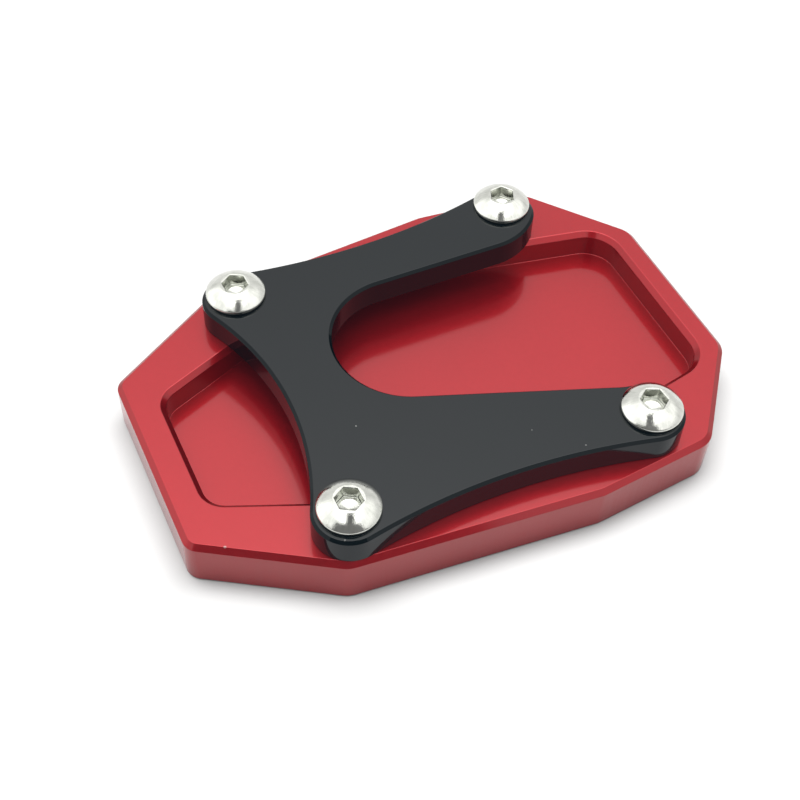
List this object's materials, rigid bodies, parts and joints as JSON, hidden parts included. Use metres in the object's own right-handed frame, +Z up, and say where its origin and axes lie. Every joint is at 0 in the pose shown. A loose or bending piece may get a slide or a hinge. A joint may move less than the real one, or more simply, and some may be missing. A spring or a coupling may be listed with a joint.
{
  "type": "motorcycle side stand foot enlarger",
  "caption": "Side stand foot enlarger: a red milled base plate with a shallow pocket, and a black U-shaped clamp plate held on it by button-head screws.",
  "frame": {"origin": "centre of the base plate's flat underside, which lies on the ground", "axes": "+X along the base plate's length towards the open end of the U, +Y across it towards the U's straight side, +Z up from the ground"},
  "size_m": [0.1, 0.0702, 0.0167],
  "materials": {
    "red_anodised": "satin, red anodised",
    "black_anodised": "semi-gloss, black anodised",
    "stainless": "polished stainless steel"
  },
  "bodies": {
    "root": {"base_plate": "red_anodised", "clamp_plate": "black_anodised", "clamp_screws": "stainless"}
  },
  "joints": []
}
